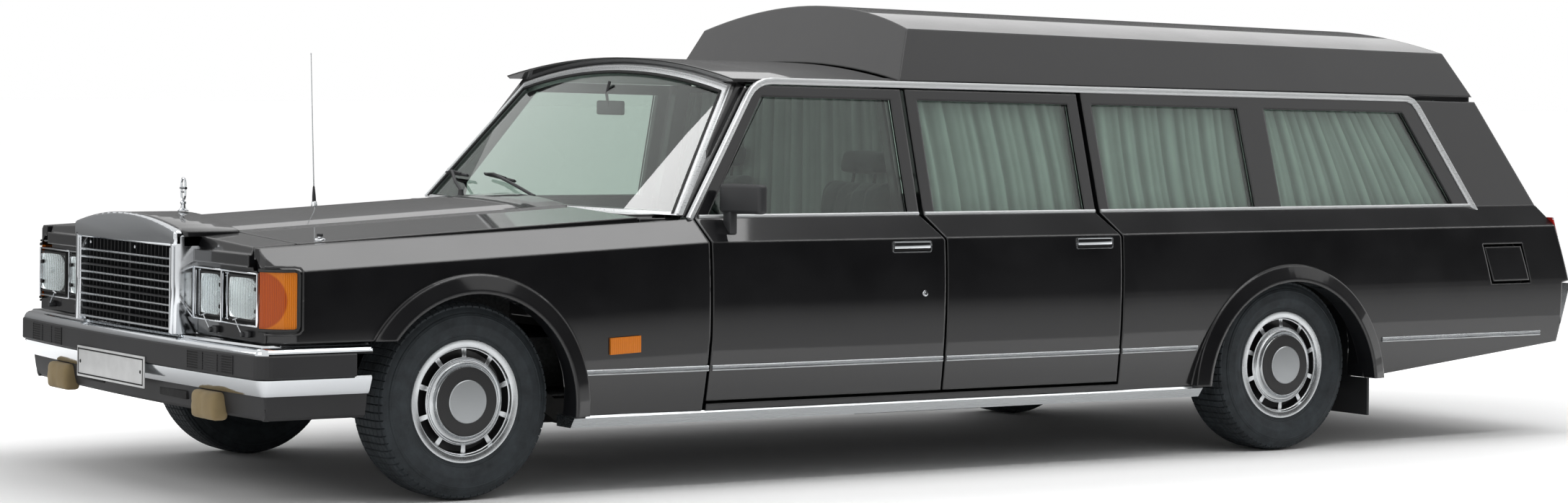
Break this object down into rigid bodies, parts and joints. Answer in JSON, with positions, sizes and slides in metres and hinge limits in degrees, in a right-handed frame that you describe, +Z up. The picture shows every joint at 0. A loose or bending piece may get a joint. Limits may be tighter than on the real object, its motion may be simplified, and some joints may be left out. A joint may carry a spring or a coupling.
{
  "type": "station wagon",
  "caption": "Long black four-door station wagon with a raised rear roof, curtained side windows, bright trim, steered front wheels and a lifting tailgate.",
  "frame": {"origin": "on the ground, under the middle of the overall length and width", "axes": "+X forward, +Y to the car's left, +Z up"},
  "size_m": [6.44, 2.2918, 1.8032],
  "materials": {
    "body_paint": "gloss black",
    "underbody": "satin dark grey",
    "bare_steel": "dull",
    "chrome": "polished",
    "wheel_chrome": "polished",
    "glass": "grey-green tint",
    "lamp_glass": "ribbed clear",
    "amber_lens": "translucent amber",
    "red_lens": "translucent red",
    "dark_trim": "satin",
    "fog_cover": "tan cloth",
    "seat_cloth": "woven",
    "curtain_cloth": "pleated",
    "tyre": "matt rubber"
  },
  "bodies": {
    "body": {"chassis_frame": "underbody", "floor_pan": "underbody", "cowl": "body_paint", "engine": "bare_steel", "exhaust": "bare_steel", "rear_axle": "bare_steel", "front_suspension": "bare_steel", "fuel_tank": "underbody", "front_wings": "body_paint", "nose_panel": "body_paint", "quarter_panels": "body_paint", "sill_trims": "chrome", "roof": "body_paint", "raised_roof": "body_paint", "windscreen": "glass", "windscreen_surround": "chrome", "quarter_glass": "glass", "grille": "chrome", "headlamp_bezels": "chrome", "headlamp_lenses": "lamp_glass", "amber_lamps": "amber_lens", "front_bumper": "chrome", "bumper_cladding": "dark_trim", "fog_lamps": "fog_cover", "rear_bumper": "chrome", "tail_lamps": "red_lens", "wipers": "dark_trim", "antenna": "chrome", "flag_holder": "chrome", "dashboard": "dark_trim", "seats": "seat_cloth", "quarter_curtains": "curtain_cloth", "mud_flaps": "dark_trim"},
    "bonnet": {"bonnet": "body_paint"},
    "door_front_left": {"door_front_left": "body_paint", "glass_front_left": "glass", "mirror_left": "dark_trim"},
    "door_front_right": {"door_front_right": "body_paint", "glass_front_right": "glass", "mirror_right": "dark_trim"},
    "door_rear_left": {"door_rear_left": "body_paint", "glass_rear_left": "glass", "curtain_rear_left": "curtain_cloth"},
    "door_rear_right": {"door_rear_right": "body_paint", "glass_rear_right": "glass", "curtain_rear_right": "curtain_cloth"},
    "tailgate": {"tailgate": "body_paint", "tailgate_glass": "glass"},
    "fuel_flap": {"fuel_flap": "body_paint"},
    "steering_wheel": {"steering_wheel": "dark_trim"},
    "knuckle_left": {"knuckle_left": "bare_steel"},
    "knuckle_right": {"knuckle_right": "bare_steel"},
    "wheel_front_left": {"tyre_front_left": "tyre", "rim_front_left": "wheel_chrome"},
    "wheel_front_right": {"tyre_front_right": "tyre", "rim_front_right": "wheel_chrome"},
    "wheel_rear_left": {"tyre_rear_left": "tyre", "rim_rear_left": "wheel_chrome"},
    "wheel_rear_right": {"tyre_rear_right": "tyre", "rim_rear_right": "wheel_chrome"}
  },
  "joints": [
    {"name": "steer_left", "type": "hinge", "parent": "body", "child": "knuckle_left", "pos_m": [2.29, 0.7915, 0.352], "axis": [0, 0, 1], "range_deg": [-35, 35]},
    {"name": "spin_front_left", "type": "hinge", "parent": "knuckle_left", "child": "wheel_front_left", "pos_m": [2.29, 0.8215, 0.352], "axis": [0, 1, 0], "continuous": true},
    {"name": "spin_rear_left", "type": "hinge", "parent": "body", "child": "wheel_rear_left", "pos_m": [-1.59, 0.8315, 0.352], "axis": [0, 1, 0], "continuous": true},
    {"name": "swing_front_left", "type": "hinge", "parent": "body", "child": "door_front_left", "pos_m": [1.342, 1.046, 0.9], "axis": [0, 0, -1], "range_deg": [0, 65]},
    {"name": "swing_rear_left", "type": "hinge", "parent": "body", "child": "door_rear_left", "pos_m": [0.286, 1.046, 0.9], "axis": [0, 0, -1], "range_deg": [0, 65]},
    {"name": "steer_right", "type": "hinge", "parent": "body", "child": "knuckle_right", "pos_m": [2.29, -0.7915, 0.352], "axis": [0, 0, 1], "range_deg": [-35, 35]},
    {"name": "spin_front_right", "type": "hinge", "parent": "knuckle_right", "child": "wheel_front_right", "pos_m": [2.29, -0.8215, 0.352], "axis": [0, 1, 0], "continuous": true},
    {"name": "spin_rear_right", "type": "hinge", "parent": "body", "child": "wheel_rear_right", "pos_m": [-1.59, -0.8315, 0.352], "axis": [0, 1, 0], "continuous": true},
    {"name": "swing_front_right", "type": "hinge", "parent": "body", "child": "door_front_right", "pos_m": [1.342, -1.046, 0.9], "axis": [0, 0, 1], "range_deg": [0, 65]},
    {"name": "swing_rear_right", "type": "hinge", "parent": "body", "child": "door_rear_right", "pos_m": [0.286, -1.046, 0.9], "axis": [0, 0, 1], "range_deg": [0, 65]},
    {"name": "lift_bonnet", "type": "hinge", "parent": "body", "child": "bonnet", "pos_m": [1.5425, 0, 1.051], "axis": [0, -1, 0], "range_deg": [0, 60]},
    {"name": "lift_tailgate", "type": "hinge", "parent": "body", "child": "tailgate", "pos_m": [-2.7156, 0, 1.65], "axis": [0, 1, 0], "range_deg": [0, 80]},
    {"name": "swing_fuel_flap", "type": "hinge", "parent": "body", "child": "fuel_flap", "pos_m": [-2.705, 0.998, 0.747], "axis": [0, 0, -1], "range_deg": [0, 90]},
    {"name": "turn_steering_wheel", "type": "hinge", "parent": "body", "child": "steering_wheel", "pos_m": [0.898, 0.4, 0.88], "axis": [-0.8829, 0, 0.4695], "range_deg": [-560, 560]}
  ],
  "couplings": [
    {"joint": "steer_right", "follows": "steer_left", "ratio": 1},
    {"joint": "turn_steering_wheel", "follows": "steer_left", "ratio": 16}
  ]
}
